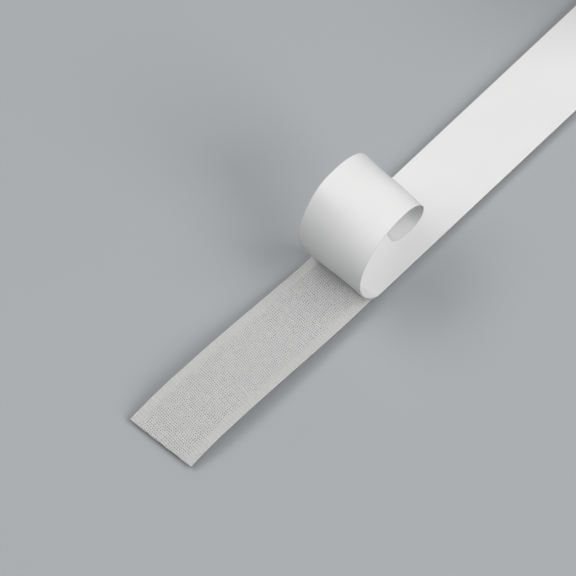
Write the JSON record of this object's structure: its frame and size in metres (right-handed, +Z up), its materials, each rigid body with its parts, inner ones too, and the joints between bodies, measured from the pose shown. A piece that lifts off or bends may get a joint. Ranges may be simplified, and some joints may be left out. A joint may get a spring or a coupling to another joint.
{
  "type": "hook and loop tape roll",
  "caption": "Self-adhesive hook tape paid out flat from a wound roll on a paper core, its release liner peeled back from the end into an upright curl.",
  "frame": {"origin": "on the hook face that lies on the table, under the middle of the line where the liner leaves the tape", "axes": "+X along the laid tape towards the roll, +Y across the tape and along the roll's axis, +Z up out of the adhesive face"},
  "size_m": [0.2864, 0.0263, 0.0787],
  "materials": {
    "hooks": "satin",
    "weave": "matte",
    "adhesive": "gloss",
    "liner": "satin",
    "stock": "matte",
    "core": "matte"
  },
  "bodies": {
    "laid_tape": {"hook_field": "hooks", "tape_weave": "weave", "adhesive_film": "adhesive", "liner_flat": "liner"},
    "peeled_liner": {"liner_curl": "liner"},
    "lead": {"lead_hooks": "hooks", "lead_weave": "weave", "lead_adhesive": "adhesive", "lead_liner": "liner"},
    "roll": {"turn_hooks": "hooks", "turn_weave": "weave", "turn_adhesive": "adhesive", "turn_liner": "liner", "wound_stock": "stock", "roll_core": "core"}
  },
  "joints": [
    {"name": "liner_peel", "type": "hinge", "parent": "laid_tape", "child": "peeled_liner", "pos_m": [0, 0, 0.00181], "axis": [0, 1, 0], "range_deg": [0, 45], "stiffness_Nm_per_rad": 0.002},
    {"name": "roll_travel", "type": "slide", "parent": "laid_tape", "child": "lead", "axis": [1, 0, 0], "range_m": [0, 0.2511], "deforming": ["lead_hooks", "lead_weave", "lead_adhesive", "lead_liner"]},
    {"name": "roll_turn", "type": "hinge", "parent": "lead", "child": "roll", "pos_m": [0.163, 0, 0.03997], "axis": [0, 1, 0], "range_deg": [0, 360]}
  ],
  "couplings": [
    {"joint": "roll_turn", "follows": "roll_travel", "rad_per_m": 25.019}
  ]
}
